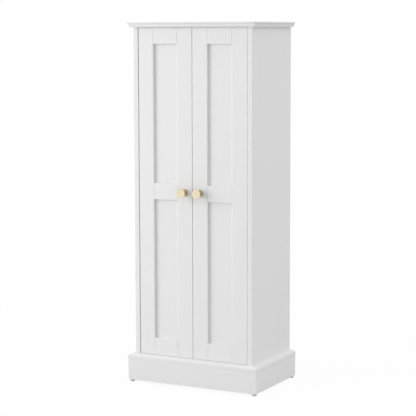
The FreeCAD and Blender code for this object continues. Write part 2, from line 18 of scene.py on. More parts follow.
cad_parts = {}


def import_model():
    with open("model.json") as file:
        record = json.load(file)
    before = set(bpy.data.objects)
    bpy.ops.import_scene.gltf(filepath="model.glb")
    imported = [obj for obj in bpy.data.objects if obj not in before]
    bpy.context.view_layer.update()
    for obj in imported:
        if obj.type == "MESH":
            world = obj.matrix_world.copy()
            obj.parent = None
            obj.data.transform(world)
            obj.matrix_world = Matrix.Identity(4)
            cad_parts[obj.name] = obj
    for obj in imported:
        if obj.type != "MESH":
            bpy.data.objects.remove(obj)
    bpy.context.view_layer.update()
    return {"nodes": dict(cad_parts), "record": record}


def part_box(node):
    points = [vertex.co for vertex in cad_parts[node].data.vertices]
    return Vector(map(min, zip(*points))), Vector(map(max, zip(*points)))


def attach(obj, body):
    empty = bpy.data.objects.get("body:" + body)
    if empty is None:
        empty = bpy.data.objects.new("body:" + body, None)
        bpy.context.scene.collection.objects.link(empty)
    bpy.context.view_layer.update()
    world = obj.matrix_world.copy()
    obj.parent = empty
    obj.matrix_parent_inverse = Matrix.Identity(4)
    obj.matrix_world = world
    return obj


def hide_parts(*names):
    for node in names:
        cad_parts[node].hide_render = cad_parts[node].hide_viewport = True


log = logging.getLogger("cabinet")

Colour = tuple[float, float, float]
Point = tuple[float, float, float]
Pair = tuple[float, float]
Test = Callable[[Vector, Vector], bool]

ORIGIN: Point = (0.0, 0.0, 0.0)
RIGHTWARDS: Point = (1.0, 0.0, 0.0)
FRONTWARDS: Point = (0.0, -1.0, 0.0)
UPWARDS: Point = (0.0, 0.0, 1.0)
WHITE: Colour = (1.0, 1.0, 1.0)

# The knobs' axis, as its distance from the cabinet's middle and its height.
KNOB_COLUMN = 0.03055
KNOB_LEVEL = 0.701

# How near points are merged, and the share of a normal or an edge that counts as facing or running one way.
WELD = 0.000001
FACING = 0.5
ALONG = 0.9


class Side(Enum):
    """A half of the cabinet, with the sign that X has there."""

    LEFT = -1.0
    RIGHT = 1.0

    def named(self, rest: str) -> str:
        """Return the name that a thing has on this side."""
        return f"{self.name.lower()}_{rest}"

    def span(self, inner: float, outer: float) -> Pair:
        """Return the X range between two distances from the middle, lowest first."""
        return tuple(sorted((self.value * inner, self.value * outer)))


# Shader maths


class Num:
    """A number in a material, either a socket or a plain value, whose arithmetic adds Math nodes."""

    def __init__(self, sheet: Sheet, source: Any) -> None:
        """Wrap a number.

        Args:
            sheet: The sheet that new nodes are added to.
            source: A socket or a plain number.
        """
        self.sheet = sheet
        self.source = source

    def apply(self, operation: str, *others: Any, clamp: bool = False) -> Num:
        """Add one Math node.

        Args:
            operation: The Math node's operation.
            others: The operands after this one.
            clamp: Whether the result is kept between 0 and 1.

        Returns:
            The node's result.
        """
        values = dict(enumerate([self, *others]))
        node = self.sheet.add("ShaderNodeMath", {"operation": operation, "use_clamp": clamp}, values)
        return Num(self.sheet, node.outputs[0])

    def __add__(self, other: Any) -> Num:
        """Add."""
        return self.apply("ADD", other)

    def __radd__(self, other: Any) -> Num:
        """Add, reflected."""
        return self.apply("ADD", other)

    def __sub__(self, other: Any) -> Num:
        """Subtract."""
        return self.apply("SUBTRACT", other)

    def __rsub__(self, other: Any) -> Num:
        """Subtract, reflected."""
        return Num(self.sheet, other).apply("SUBTRACT", self)

    def __mul__(self, other: Any) -> Num:
        """Multiply."""
        return self.apply("MULTIPLY", other)

    def __rmul__(self, other: Any) -> Num:
        """Multiply, reflected."""
        return self.apply("MULTIPLY", other)

    def __truediv__(self, other: Any) -> Num:
        """Divide."""
        return self.apply("DIVIDE", other)

    def __rtruediv__(self, other: Any) -> Num:
        """Divide, reflected."""
        return Num(self.sheet, other).apply("DIVIDE", self)

    def __pow__(self, other: Any) -> Num:
        """Raise to a power."""
        return self.apply("POWER", other)

    def __rpow__(self, other: Any) -> Num:
        """Raise to a power, reflected."""
        return Num(self.sheet, other).apply("POWER", self)

    def __abs__(self) -> Num:
        """Drop the sign."""
        return self.apply("ABSOLUTE")

    def sine(self) -> Num:
        """Return the sine."""
        return self.apply("SINE")

    def sway(self, share: float) -> Num:
        """Return a number that runs from 0 to 1 as a swing about zero with this span."""
        return (self - 0.5) * share

    def ramp(self, low: float, high: float) -> Num:
        """Return this number with the span from low to high mapped onto 0 to 1, clamped."""
        return ((self - low) / (high - low)).apply("ADD", 0.0, clamp=True)


class Sheet:
    """The nodes of one material or of the world, and what every finish is made from."""

    def __init__(self, owner: bpy.types.Material | bpy.types.World) -> None:
        """Start on a new material or world.

        Args:
            owner: The new material or world, without nodes.
        """
        owner.use_nodes = True
        self.owner = owner
        self.tree = owner.node_tree
        self.shader = next(node for node in self.tree.nodes if node.outputs)
        self.end = next(node for node in self.tree.nodes if not node.outputs)

    def add(self, kind: str, settings: dict[str, Any] | None = None,
            sockets: dict[int | str, Any] | None = None) -> bpy.types.Node:
        """Add a node.

        Args:
            kind: The node's type.
            settings: The node's own settings.
            sockets: The values or links of its inputs, by name or place.

        Returns:
            The node.
        """
        node = self.tree.nodes.new(kind)
        for name, value in (settings or {}).items():
            setattr(node, name, value)
        for name, value in (sockets or {}).items():
            self.feed(node.inputs[name], value)
        return node

    def feed(self, socket: bpy.types.NodeSocket, value: Any) -> None:
        """Set or link one input.

        Args:
            socket: The input.
            value: A number, vector, colour, socket or wrapped number.
        """
        source = value.source if isinstance(value, Num) else value
        if isinstance(source, bpy.types.NodeSocket):
            self.tree.links.new(source, socket)
        elif socket.type == "RGBA":
            socket.default_value = (*source, 1.0)
        else:
            socket.default_value = source

    def place(self) -> bpy.types.NodeSocket:
        """Return the Object coordinates."""
        return self.add("ShaderNodeTexCoord").outputs["Object"]

    def axes(self) -> tuple[Num, Num, Num]:
        """Return the three Object coordinates as numbers."""
        node = self.add("ShaderNodeSeparateXYZ", None, {0: self.place()})
        return tuple(Num(self, output) for output in node.outputs)

    def noise(self, cells: float | Point, detail: float = 2.0, roughness: float = 0.5,
              offset: Point = ORIGIN) -> Num:
        """Return a noise from 0 to 1 on the Object coordinates.

        Args:
            cells: Cells a metre, in all directions or along each axis.
            detail: The number of octaves.
            roughness: The share of the finer octaves.
            offset: A shift that keeps patterns apart.

        Returns:
            The noise.
        """
        scale = cells if isinstance(cells, tuple) else (cells,) * 3
        mapped = self.add("ShaderNodeMapping", None, {
            "Vector": self.place(), "Scale": scale, "Location": offset})
        node = self.add("ShaderNodeTexNoise", None, {
            "Vector": mapped.outputs[0], "Scale": 1.0, "Detail": detail, "Roughness": roughness})
        return Num(self, node.outputs["Fac"])

    def mix(self, share: Any, low: Any, high: Any) -> bpy.types.NodeSocket:
        """Mix two colours.

        Args:
            share: How much of the second colour.
            low: The first colour.
            high: The second colour.

        Returns:
            The mixed colour.
        """
        node = self.add("ShaderNodeMix", {"data_type": "RGBA"})
        colours = [socket for socket in node.inputs if socket.type == "RGBA"]
        for socket, value in zip((node.inputs[0], *colours), (share, low, high)):
            self.feed(socket, value)
        return next(socket for socket in node.outputs if socket.type == "RGBA")

    def blend(self, share: Any, low: bpy.types.Node, high: bpy.types.Node) -> bpy.types.Node:
        """Return a node that mixes two shaders' nodes, with the share of the second one."""
        return self.add("ShaderNodeMixShader", None, {0: share, 1: low.outputs[0], 2: high.outputs[0]})

    def bump(self, height: Num, depth: float, strength: float,
             under: bpy.types.NodeSocket | None = None) -> bpy.types.NodeSocket:
        """Return a bumped normal.

        Args:
            height: The height from 0 to 1.
            depth: What a height of 1 means, in metres.
            strength: The bump's strength.
            under: A normal that this one lies on.

        Returns:
            The normal.
        """
        sockets: dict[int | str, Any] = {"Strength": strength, "Distance": depth, "Height": height}
        if under is not None:
            sockets["Normal"] = under
        return self.add("ShaderNodeBump", None, sockets).outputs[0]

    def seen(self) -> Num:
        """Return 1 on the rays that see the surroundings: from the camera, off gloss and through glass."""
        path = self.add("ShaderNodeLightPath")
        rays = [Num(self, path.outputs[f"Is {kind} Ray"]) for kind in ("Camera", "Glossy", "Transmission")]
        return (rays[0] + rays[1] + rays[2]).apply("MINIMUM", 1.0)

    def dress(self, **sockets: Any) -> bpy.types.Material | bpy.types.World:
        """Set the shader's own sockets, named with underscores for spaces, and return the sheet's owner."""
        for name, value in sockets.items():
            words = " ".join(word.capitalize() if word != "ior" else "IOR" for word in name.split("_"))
            self.feed(self.shader.inputs[words], value)
        return self.owner

    def close(self, surface: bpy.types.Node) -> None:
        """Make a shader's node the surface in place of the sheet's own shader."""
        self.tree.links.new(surface.outputs[0], self.end.inputs["Surface"])


# Finishes


def shaded(colour: Colour, share: float | Colour) -> Colour:
    """Return a colour times one share, or times a share for each channel."""
    shares = share if isinstance(share, tuple) else (share,) * 3
    return tuple(channel * part for channel, part in zip(colour, shares))


class Run(Enum):
    """The direction that a board's grain, or the brush that painted it, runs in."""

    UPRIGHT = (1.0, 1.0, 0.05)
    ACROSS = (0.05, 1.0, 1.0)
    DEEP = (1.0, 0.05, 1.0)

    def cells(self, count: float) -> Point:
        """Return cells a metre along each axis, where count is across the run."""
        return tuple(count * share for share in self.value)


@dataclass(frozen=True)
class Finish:
    """What every finish has: the material's name and its main colour."""

    name: str
    colour: Colour

    def sheet(self) -> Sheet:
        """Return the nodes of this finish's new material."""
        return Sheet(bpy.data.materials.new(self.name))


@dataclass(frozen=True)
class SatinPaint(Finish):
    """White satin paint on a board: a faint brushed run, a fine stipple and a soft gloss."""

    run: Run
    roughness: float = 0.42
    gloss: float = 0.42
    shade: Colour = (0.972, 0.972, 0.971)
    cloud_cells: Point = (3.1, 3.1, 2.3)
    brush_cells: float = 420.0
    brush_depth: float = 0.00004
    stipple_cells: float = 1150.0
    stipple_depth: float = 0.00003

    def material(self) -> bpy.types.Material:
        """Return the material."""
        sheet = self.sheet()
        cloud = sheet.noise(self.cloud_cells)
        brush = sheet.noise(self.run.cells(self.brush_cells), 2.0, 0.55, (3.0, 1.0, 7.0))
        stipple = sheet.noise(self.stipple_cells, 1.0, 0.5, (9.0, 4.0, 2.0))
        tone = (cloud * 0.55 + brush * 0.45).ramp(0.30, 0.70)
        brushed = sheet.bump(brush, self.brush_depth, 0.5)
        return sheet.dress(base_color=sheet.mix(tone, shaded(self.colour, self.shade), self.colour),
                           roughness=self.roughness + brush.sway(0.10) + stipple.sway(0.06),
                           normal=sheet.bump(stipple, self.stipple_depth, 0.6, brushed),
                           specular_ior_level=self.gloss)


@dataclass(frozen=True)
class Melamine(Finish):
    """The matt coated face of the inner boards: pearled, hardly tinted."""

    roughness: float = 0.50
    pearl_cells: float = 900.0
    pearl_depth: float = 0.00004
    cloud_cells: float = 4.0

    def material(self) -> bpy.types.Material:
        """Return the material."""
        sheet = self.sheet()
        pearl = sheet.noise(self.pearl_cells, 2.0, 0.6)
        cloud = sheet.noise(self.cloud_cells, 1.0, 0.5, (1.0, 2.0, 5.0))
        tone = (pearl * 0.5 + cloud * 0.5).ramp(0.32, 0.68)
        return sheet.dress(base_color=sheet.mix(tone, shaded(self.colour, 0.965), self.colour),
                           roughness=self.roughness + pearl.sway(0.16),
                           normal=sheet.bump(pearl, self.pearl_depth, 0.7))


@dataclass(frozen=True)
class Hardboard(Finish):
    """The thin back: a lacquered face over pressed fibres."""

    roughness: float = 0.62
    fibre_cells: Point = (260.0, 260.0, 260.0 * 0.35)
    fibre_depth: float = 0.00012
    speck_cells: float = 760.0

    def material(self) -> bpy.types.Material:
        """Return the material."""
        sheet = self.sheet()
        fibres = sheet.noise(self.fibre_cells, 4.0, 0.65)
        specks = sheet.noise(self.speck_cells, 1.0, 0.5, (5.0, 1.0, 3.0)).ramp(0.68, 0.76)
        face = sheet.mix(fibres.ramp(0.35, 0.65), shaded(self.colour, 0.93), self.colour)
        return sheet.dress(base_color=sheet.mix(specks * 0.35, face, shaded(self.colour, 0.80)),
                           roughness=self.roughness + fibres.sway(0.2),
                           normal=sheet.bump(fibres, self.fibre_depth, 0.6))


@dataclass(frozen=True)
class TurnedBrass(Finish):
    """Pale satin brass with the lathe's fine rings round the knobs' axes, and painted shade that darkens it
    behind the disc.
    """

    face_y: float
    centre_x: float = KNOB_COLUMN
    centre_z: float = KNOB_LEVEL
    roughness: float = 0.30
    warm: Colour = (0.95, 0.92, 0.86)
    # The painted shade's tone behind the disc, and the depths behind the face over which it sets in.
    painted_shade: Colour = (0.47, 0.44, 0.36)
    shade_from: float = 0.0004
    shade_depth: float = 0.009
    haze_cells: float = 95.0
    wobble_cells: float = 140.0
    ring_pitch: float = 0.00042
    ring_depth: float = 0.000012

    def material(self) -> bpy.types.Material:
        """Return the material."""
        sheet = self.sheet()
        x, y, z = sheet.axes()
        across = abs(x) - self.centre_x
        up = z - self.centre_z
        radius = (across * across + up * up) ** 0.5
        wobble = sheet.noise(self.wobble_cells)
        rings = (radius * (2.0 * math.pi / self.ring_pitch) + wobble * 5.0).sine() * 0.5 + 0.5
        haze = sheet.noise(self.haze_cells, 3.0, 0.6, (2.0, 8.0, 4.0))
        # Painted shade: the colour darkens from the disc's face backwards over the neck and the foot, where
        # the knob lies in shade.
        depth = (y - self.face_y).ramp(self.shade_from, self.shade_depth)
        polished = sheet.mix(haze.ramp(0.35, 0.7), shaded(self.colour, self.warm), self.colour)
        return sheet.dress(base_color=sheet.mix(depth * 0.85 + haze * 0.15 * depth, polished,
                                                shaded(self.colour, self.painted_shade)),
                           metallic=1.0,
                           roughness=self.roughness + haze.sway(0.16) + rings.sway(0.05),
                           normal=sheet.bump(rings, self.ring_depth, 0.35))


@dataclass(frozen=True)
class BrushedSteel(Finish):
    """Plated steel with fine draw lines."""

    run: Run = Run.ACROSS
    roughness: float = 0.34
    line_cells: float = 2600.0
    line_depth: float = 0.00001
    spot_cells: float = 180.0

    def material(self) -> bpy.types.Material:
        """Return the material."""
        sheet = self.sheet()
        lines = sheet.noise(self.run.cells(self.line_cells), 2.0, 0.6)
        spots = sheet.noise(self.spot_cells, 3.0, 0.6, (4.0, 4.0, 1.0))
        tone = (lines * 0.6 + spots * 0.4).ramp(0.3, 0.7)
        return sheet.dress(base_color=sheet.mix(tone, shaded(self.colour, 0.86), self.colour),
                           metallic=1.0,
                           roughness=self.roughness + lines.sway(0.18) + spots.sway(0.1),
                           normal=sheet.bump(lines, self.line_depth, 0.5))


@dataclass(frozen=True)
class CastZinc(Finish):
    """The cam fittings' die-cast and plated skin."""

    metallic: float = 0.85
    roughness: float = 0.46
    grain_cells: float = 1400.0
    grain_depth: float = 0.00004
    blotch_cells: float = 210.0

    def material(self) -> bpy.types.Material:
        """Return the material."""
        sheet = self.sheet()
        grain = sheet.noise(self.grain_cells, 3.0, 0.6)
        blotch = sheet.noise(self.blotch_cells, 2.0, 0.5, (1.0, 5.0, 6.0))
        tone = (grain * 0.5 + blotch * 0.5).ramp(0.35, 0.65)
        return sheet.dress(base_color=sheet.mix(tone, shaded(self.colour, 0.8), self.colour),
                           metallic=self.metallic,
                           roughness=self.roughness + blotch.sway(0.2),
                           normal=sheet.bump(grain, self.grain_depth, 0.6))


@dataclass(frozen=True)
class MouldedPlastic(Finish):
    """A moulded plastic with a fine spark-eroded grain."""

    roughness: float
    grain_cells: float = 1500.0
    grain_depth: float = 0.00004
    flow_cells: Point = (60.0, 60.0, 22.0)

    def material(self) -> bpy.types.Material:
        """Return the material."""
        sheet = self.sheet()
        grain = sheet.noise(self.grain_cells, 2.0, 0.6)
        flow = sheet.noise(self.flow_cells, 2.0, 0.5, (7.0, 3.0, 1.0))
        tone = (grain * 0.4 + flow * 0.6).ramp(0.35, 0.65)
        return sheet.dress(base_color=sheet.mix(tone, shaded(self.colour, 0.9), self.colour),
                           roughness=self.roughness + grain.sway(0.12) + flow.sway(0.08),
                           normal=sheet.bump(grain, self.grain_depth, 0.6))


@dataclass(frozen=True)
class Ferrite(Finish):
    """The sintered magnets' dark, slightly porous body."""

    roughness: float = 0.58
    grain_cells: float = 2100.0
    grain_depth: float = 0.00006
    pore_cells: float = 900.0

    def material(self) -> bpy.types.Material:
        """Return the material."""
        sheet = self.sheet()
        grain = sheet.noise(self.grain_cells, 4.0, 0.7)
        pores = sheet.noise(self.pore_cells, 1.0, 0.5, (3.0, 6.0, 9.0)).ramp(0.66, 0.74)
        return sheet.dress(base_color=sheet.mix(pores, self.colour, shaded(self.colour, 0.55)),
                           roughness=self.roughness + grain.sway(0.25),
                           normal=sheet.bump(grain - pores * 0.6, self.grain_depth, 0.7))


@dataclass(frozen=True)
class Beech(Finish):
    """Raw beech dowels: long pale grain with short dark flecks."""

    roughness: float = 0.6
    shade: Colour = (0.82, 0.76, 0.68)
    grain_cells: Point = (60.0, 700.0, 700.0)
    grain_depth: float = 0.00005
    fleck: Colour = (0.32, 0.19, 0.10)
    fleck_cells: Point = (260.0, 1500.0, 1500.0)

    def material(self) -> bpy.types.Material:
        """Return the material."""
        sheet = self.sheet()
        grain = sheet.noise(self.grain_cells, 3.0, 0.6)
        flecks = sheet.noise(self.fleck_cells, 1.0, 0.5, (8.0, 2.0, 5.0)).ramp(0.62, 0.70)
        face = sheet.mix(grain.ramp(0.35, 0.65), shaded(self.colour, self.shade), self.colour)
        return sheet.dress(base_color=sheet.mix(flecks * 0.5, face, self.fleck),
                           roughness=self.roughness + grain.sway(0.2),
                           normal=sheet.bump(grain - flecks * 0.4, self.grain_depth, 0.6))


# Modelling by hand


class Part(Enum):
    """What of a mesh is picked, with its select mode."""

    FACES = "FACE"
    EDGES = "EDGE"


class Bench:
    """The few moves that every new piece is modelled with."""

    @staticmethod
    def clear() -> None:
        """Leave edit mode and deselect every object."""
        if bpy.context.object and bpy.context.object.mode != "OBJECT":
            bpy.ops.object.mode_set(mode="OBJECT")
        bpy.ops.object.select_all(action="DESELECT")

    @staticmethod
    def hold(*pieces: bpy.types.Object) -> None:
        """Select these objects alone, in object mode, and make the first one active."""
        Bench.clear()
        for piece in pieces:
            piece.select_set(True)
        bpy.context.view_layer.objects.active = pieces[0]

    @staticmethod
    def settle() -> None:
        """Put the selected objects' places, turns and sizes into their meshes."""
        bpy.ops.object.transform_apply(location=True, rotation=True, scale=True)

    @staticmethod
    def label(piece: bpy.types.Object, name: str) -> None:
        """Name an object and its mesh."""
        piece.name = name
        piece.data.name = name

    @staticmethod
    def heal(weld: bool) -> None:
        """Turn the active object's faces outwards.

        Args:
            weld: Whether points that coincide are merged first.
        """
        bpy.ops.object.mode_set(mode="EDIT")
        bpy.ops.mesh.select_all(action="SELECT")
        if weld:
            bpy.ops.mesh.remove_doubles(threshold=WELD)
        bpy.ops.mesh.normals_make_consistent(inside=False)
        bpy.ops.object.mode_set(mode="OBJECT")

    @staticmethod
    def finish(piece: bpy.types.Object, name: str, material: bpy.types.Material,
               angle: float = 35.0) -> None:
        """Put a modelled piece's place into its mesh, name it, shade it and give it its material.

        Args:
            piece: The modelled object.
            name: Its name.
            material: Its material.
            angle: Edges flatter than this many degrees are shaded smooth.
        """
        Bench.hold(piece)
        Bench.settle()
        Bench.heal(weld=True)
        bpy.ops.object.shade_smooth_by_angle(angle=math.radians(angle))
        Bench.label(piece, name)
        piece.data.materials.clear()
        piece.data.materials.append(material)
        piece.select_set(False)

    @staticmethod
    def copy(piece: bpy.types.Object, name: str, change: Matrix) -> bpy.types.Object:
        """Copy a finished piece with its own mesh.

        Args:
            piece: The finished piece.
            name: The copy's name.
            change: What moves the copy's mesh to its place.

        Returns:
            The copy, with its faces outwards.
        """
        Bench.hold(piece)
        bpy.ops.object.duplicate(linked=False)
        twin = bpy.context.object
        Bench.label(twin, name)
        twin.matrix_world = change
        Bench.settle()
        Bench.heal(weld=False)
        twin.select_set(False)
        return twin

    @staticmethod
    def join(pieces: Sequence[bpy.types.Object], name: str) -> bpy.types.Object:
        """Join objects into one piece, as separate solids.

        Args:
            pieces: The objects.
            name: The piece's name.

        Returns:
            The joined piece.
        """
        Bench.hold(*pieces)
        bpy.ops.object.join()
        joined = bpy.context.object
        Bench.label(joined, name)
        joined.select_set(False)
        return joined

    @staticmethod
    def spread(pattern: bpy.types.Object, name: str, moves: Sequence[Matrix]) -> bpy.types.Object:
        """Copy a pattern to every place and join the copies, and drop the pattern.

        Args:
            pattern: The finished pattern, at the origin.
            name: The joined piece's name.
            moves: What takes each copy to its place.

        Returns:
            The joined piece.
        """
        copies = [Bench.copy(pattern, f"{name}_{place}" if place else name, move)
                  for place, move in enumerate(moves)]
        bpy.data.objects.remove(pattern, do_unlink=True)
        return Bench.join(copies, name) if len(copies) > 1 else copies[0]

    @staticmethod
    def block(across: Pair, deep: Pair, up: Pair) -> bpy.types.Object:
        """Set up a cube.

        Args:
            across: Its X range, lowest first.
            deep: Its Y range.
            up: Its Z range.

        Returns:
            The cube, with its size and place in its mesh.
        """
        Bench.clear()
        low, high = (Vector(corner) for corner in zip(across, deep, up))
        bpy.ops.mesh.primitive_cube_add(size=1.0, location=(low + high) / 2)
        piece = bpy.context.object
        piece.scale = high - low
        Bench.settle()
        return piece

    @staticmethod
    def turn(profile: Sequence[Pair], base: Point, along: Point, steps: int) -> bpy.types.Object:
        """Turn an outline about an axis, ring by ring from its foot to its tip.

        Args:
            profile: The (radius, height) pairs, closed by a pole at the last one.
            base: The point on the axis where heights start.
            along: The axis, pointing the way heights grow.
            steps: The number of faces round.

        Returns:
            The turned object, not yet finished.
        """
        Bench.clear()
        direction = Vector(along)
        radius, height = profile[0]
        bpy.ops.mesh.primitive_circle_add(vertices=steps, radius=radius, fill_type="NGON",
                                          location=Vector(base) + direction * height,
                                          rotation=direction.to_track_quat("Z", "Y").to_euler())
        piece = bpy.context.object
        bpy.ops.object.mode_set(mode="EDIT")
        bpy.ops.mesh.select_all(action="SELECT")
        for next_radius, next_height in profile[1:]:
            bpy.ops.mesh.extrude_region_move(
                TRANSFORM_OT_translate={"value": direction * (next_height - height)})
            bpy.ops.transform.resize(value=(next_radius / radius,) * 3,
                                     center_override=Vector(base) + direction * next_height)
            radius, height = next_radius, next_height
        bpy.ops.object.mode_set(mode="OBJECT")
        return piece

    @staticmethod
    def pick(piece: bpy.types.Object, part: Part, test: Test) -> None:
        """Enter edit mode with only the faces or the edges selected that pass a test.

        Args:
            piece: The object.
            part: What is selected.
            test: Takes a face's centre and normal, or an edge's middle and direction.
        """
        Bench.hold(piece)
        bpy.ops.object.mode_set(mode="EDIT")
        bpy.ops.mesh.select_mode(type=part.value)
        bpy.ops.mesh.select_all(action="DESELECT")
        bpy.ops.object.mode_set(mode="OBJECT")
        if part is Part.FACES:
            for face in piece.data.polygons:
                face.select = test(face.center, face.normal)
        else:
            for edge in piece.data.edges:
                start, end = (piece.data.vertices[index].co for index in edge.vertices)
                edge.select = test((start + end) / 2, (end - start).normalized())
        bpy.ops.object.mode_set(mode="EDIT")

    @staticmethod
    def split(piece: bpy.types.Object, test: Test, at: Point, across: Point) -> None:
        """Cut the faces that pass a test along a plane.

        Args:
            piece: The object.
            test: Takes a face's centre and normal.
            at: A point of the plane.
            across: The plane's normal.
        """
        Bench.pick(piece, Part.FACES, test)
        bpy.ops.mesh.bisect(plane_co=at, plane_no=across)
        bpy.ops.object.mode_set(mode="OBJECT")

    @staticmethod
    def push(piece: bpy.types.Object, test: Test, move: Point) -> None:
        """Extrude the faces that pass a test.

        Args:
            piece: The object.
            test: Takes a face's centre and normal.
            move: How far the faces go.
        """
        Bench.pick(piece, Part.FACES, test)
        bpy.ops.mesh.extrude_region_move(TRANSFORM_OT_translate={"value": move})
        bpy.ops.object.mode_set(mode="OBJECT")

    @staticmethod
    def round_edges(piece: bpy.types.Object, test: Test, radius: float, segments: int) -> None:
        """Round the edges that pass a test.

        Args:
            piece: The object.
            test: Takes an edge's middle and its direction.
            radius: The rounding's radius.
            segments: The number of faces across it.
        """
        Bench.pick(piece, Part.EDGES, test)
        bpy.ops.mesh.bevel(offset=radius, segments=segments)
        bpy.ops.object.mode_set(mode="OBJECT")

    @staticmethod
    def soften(piece: bpy.types.Object, width: float) -> None:
        """Round all sharp edges a little with an applied bevel.

        Args:
            piece: The object.
            width: The bevel's width.
        """
        Bench.hold(piece)
        rounding = piece.modifiers.new("soften", "BEVEL")
        rounding.width = width
        rounding.segments = 2
        rounding.limit_method = "ANGLE"
        bpy.ops.object.modifier_apply(modifier=rounding.name)

    @staticmethod
    def carve(piece: bpy.types.Object, cutter: bpy.types.Object) -> None:
        """Cut one object out of another and drop the cutter.

        Args:
            piece: The object that stays.
            cutter: The object that is cut out of it.
        """
        Bench.hold(piece)
        cut = piece.modifiers.new("carve", "BOOLEAN")
        cut.operation = "DIFFERENCE"
        cut.solver = "EXACT"
        cut.object = cutter
        bpy.ops.object.modifier_apply(modifier=cut.name)
        bpy.data.objects.remove(cutter, do_unlink=True)

    @staticmethod
    def cross(piece: bpy.types.Object, half: float, wide: float, deep: float) -> None:
        """Carve a tapered cross recess into a face at the origin, along +Z.

        Args:
            piece: The object, with its face at the origin.
            half: Half the length of an arm pair.
            wide: An arm's width.
            deep: The recess's depth.
        """
        taper = (0.5, 0.7, 1.0)
        above = wide * 0.2
        for quarter in (0.0, 90.0):
            cutter = Bench.block((-half, half), (-wide / 2, wide / 2), (-above, deep))
            Bench.pick(cutter, Part.FACES, lambda centre, normal: normal.z > FACING)
            bpy.ops.transform.resize(value=taper, center_override=(0.0, 0.0, deep))
            bpy.ops.object.mode_set(mode="OBJECT")
            cutter.rotation_euler.z = math.radians(quarter)
            Bench.settle()
            Bench.carve(piece, cutter)


def placed(spot: Point, along: Point) -> Matrix:
    """Return the move of a piece that stands along +Z at the origin to a spot, along a direction."""
    return Matrix.Translation(spot) @ Vector(along).to_track_quat("Z", "Y").to_matrix().to_4x4()


def arc(centre: Pair, radius: float, start: float, end: float, steps: int) -> list[Pair]:
    """Return points along an arc in the (radius, height) plane.

    Args:
        centre: The arc's centre.
        radius: The arc's radius.
        start: Its first angle, in degrees from the outward direction towards the tip.
        end: Its last angle.
        steps: The number of steps.

    Returns:
        The points, first and last included.
    """
    angles = [math.radians(start + (end - start) * step / steps) for step in range(steps + 1)]
    return [(centre[0] + radius * math.cos(a), centre[1] + radius * math.sin(a)) for a in angles]


def declare(piece: bpy.types.Object, body: str, node: str) -> bpy.types.Object:
    """Tell the frame what a new piece is.

    Args:
        piece: The finished piece.
        body: The body that it rides on.
        node: The node that it replaces.

    Returns:
        The piece.
    """
    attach(piece, body)
    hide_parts(node)
    return piece


# Sub-assemblies


@dataclass
class Knobs:
    """The two turned knobs: a flared foot, a waisted neck and a thick disc with a rolled rim."""

    material: bpy.types.Material
    foot_radius: float = 0.0125
    foot_height: float = 0.0032
    foot_edge: float = 0.0004
    neck_radius: float = 0.0070
    neck_flare: float = 0.0042
    neck_sweep: float = 0.0058
    sweep_drop: float = 0.0065
    disc_radius: float = 0.0165
    disc_height: float = 0.0065
    disc_under: float = 0.0016
    height: float = 0.0330
    rim_round: float = 0.0022
    rim_width: float = 0.0022
    dish_depth: float = 0.0003
    dish_slope: float = 0.0006
    smooth_angle: float = 28.0
    steps: int = 96

    def profile(self) -> list[Pair]:
        """Return the knob's outline from its foot to the middle of its face."""
        foot, neck, disc, face = self.foot_radius, self.neck_radius, self.disc_radius, self.height
        flare, under, rim = self.neck_flare, self.disc_under, self.rim_round
        half_foot = self.foot_height / 2
        rim_low = face - self.disc_height
        sweep_low = rim_low - self.sweep_drop
        line = [(foot - self.foot_edge, 0.0), (foot, self.foot_edge), (foot, half_foot)]
        line += arc((foot - half_foot, half_foot), half_foot, 0, 90, 8)[1:]
        line += arc((neck + flare, self.foot_height + flare), flare, 265, 180, 10)[1:]
        line += [(neck, sweep_low)]
        line += arc((neck + self.neck_sweep, sweep_low), self.neck_sweep, 180, 95, 12)[1:]
        line += arc((disc - under, rim_low + under), under, 280, 360, 6)
        line += arc((disc - rim, face - rim), rim, 0, 90, 10)
        inner = disc - rim - self.rim_width
        line += [(inner + self.dish_slope, face)]
        line += [(inner * share, face - self.dish_depth) for share in (1.0, 0.6, 0.3, 0.02)]
        return line

    def build(self) -> list[bpy.types.Object]:
        """Model the left knob and copy it for the right door.

        Returns:
            Both knobs.
        """
        low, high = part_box("left_knob")
        base = ((low.x + high.x) / 2, high.y, (low.z + high.z) / 2)
        left = Bench.turn(self.profile(), base, FRONTWARDS, self.steps)
        Bench.finish(left, "left_turned_knob", self.material, self.smooth_angle)
        right = Bench.copy(left, "right_turned_knob", Matrix.Scale(-1.0, 4, RIGHTWARDS))
        return [declare(knob, side.named("door"), side.named("knob"))
                for side, knob in zip(Side, (left, right))]


@dataclass
class Glides:
    """The four domed plastic glides under the base."""

    material: bpy.types.Material
    radius: float = 0.0090
    rest_radius: float = 0.0055
    height: float = 0.0080
    skirt: float = 0.0030
    edge: float = 0.0006
    gap: float = 0.00005
    nail_radius: float = 0.0012
    nail_height: float = 0.0160
    nail_point: float = 0.002
    steps: int = 48

    def profile(self) -> list[Pair]:
        """Return the glide's outline from the floor to the tip of its nail."""
        dome = self.height - self.skirt
        span = self.radius - self.rest_radius
        top = self.height - self.gap
        tip = self.height + self.nail_height
        line = [(self.rest_radius + span * math.sin(angle), dome * (1 - math.cos(angle)))
                for angle in (math.radians(degrees) for degrees in range(0, 91, 10))]
        line += [(self.radius, self.height - self.edge), (self.radius - self.edge, top)]
        line += [(self.nail_radius, top), (self.nail_radius, tip - self.nail_point)]
        return line + [(self.nail_radius * 0.1, tip)]

    def build(self) -> list[bpy.types.Object]:
        """Model one glide and copy it to the four corners.

        Returns:
            The four glides.
        """
        centres = {}
        for corner in ("front_left", "front_right", "back_left", "back_right"):
            low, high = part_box("glide_" + corner)
            centres[corner] = Vector(((low.x + high.x) / 2, (low.y + high.y) / 2, low.z))
        start = centres["front_left"]
        first = Bench.turn(self.profile(), tuple(start), UPWARDS, self.steps)
        Bench.finish(first, "glide_foot_front_left", self.material)
        pieces = [first] + [Bench.copy(first, "glide_foot_" + corner, Matrix.Translation(centre - start))
                            for corner, centre in centres.items() if corner != "front_left"]
        return [declare(piece, "carcass", "glide_" + corner)
                for corner, piece in zip(centres, pieces)]


